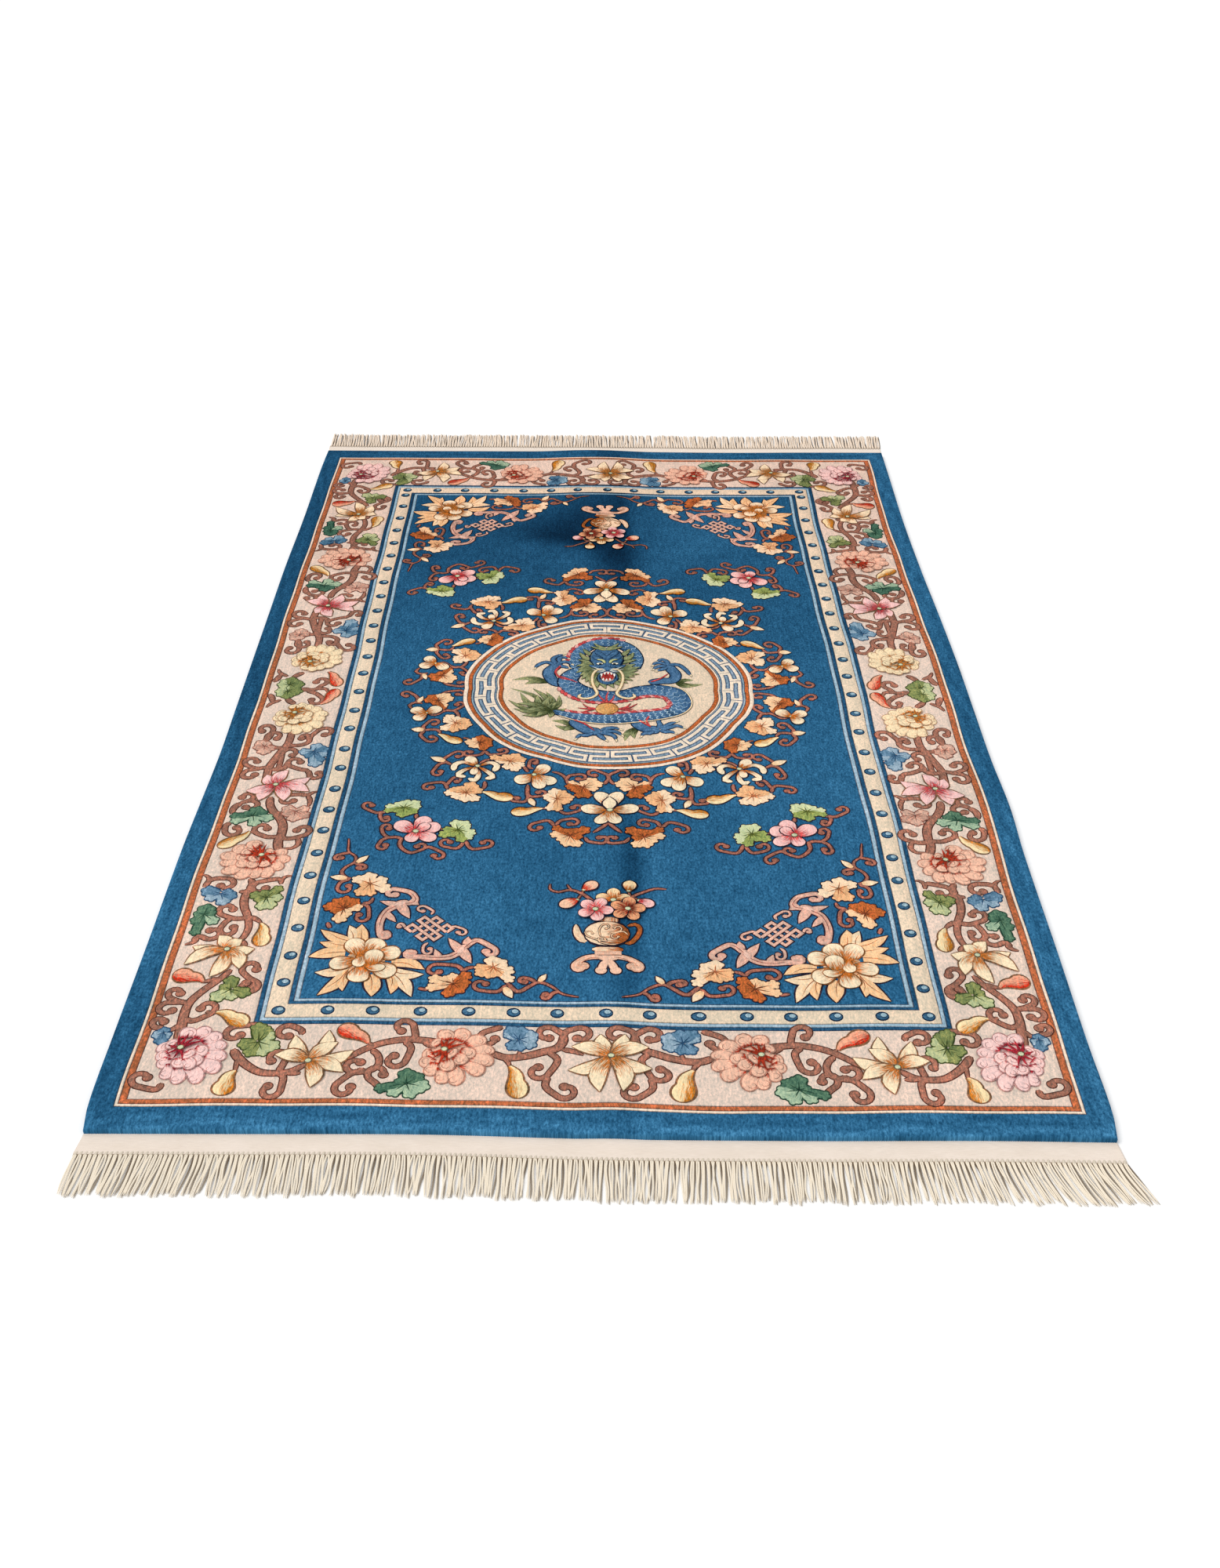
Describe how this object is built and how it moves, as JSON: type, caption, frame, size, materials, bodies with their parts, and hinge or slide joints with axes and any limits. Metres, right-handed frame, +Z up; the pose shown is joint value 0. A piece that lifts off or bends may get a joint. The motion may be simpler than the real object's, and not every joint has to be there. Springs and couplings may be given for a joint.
{
  "type": "peking rug",
  "caption": "Flat hand-knotted wool rug with carved frame lines and medallion rings, woven ends and a knotted fringe at each end.",
  "frame": {"origin": "on the floor under the middle of the knotted pile", "axes": "+X across the width, +Y along the length to the far end, +Z up from the floor"},
  "size_m": [1.5651, 2.6844, 0.0176],
  "materials": {
    "pile": "matt cut wool pile",
    "fringe_yarn": "matt cotton warp yarn"
  },
  "bodies": {
    "root": {"rug": "pile", "fringe_near": "fringe_yarn", "fringe_far": "fringe_yarn"}
  },
  "joints": []
}
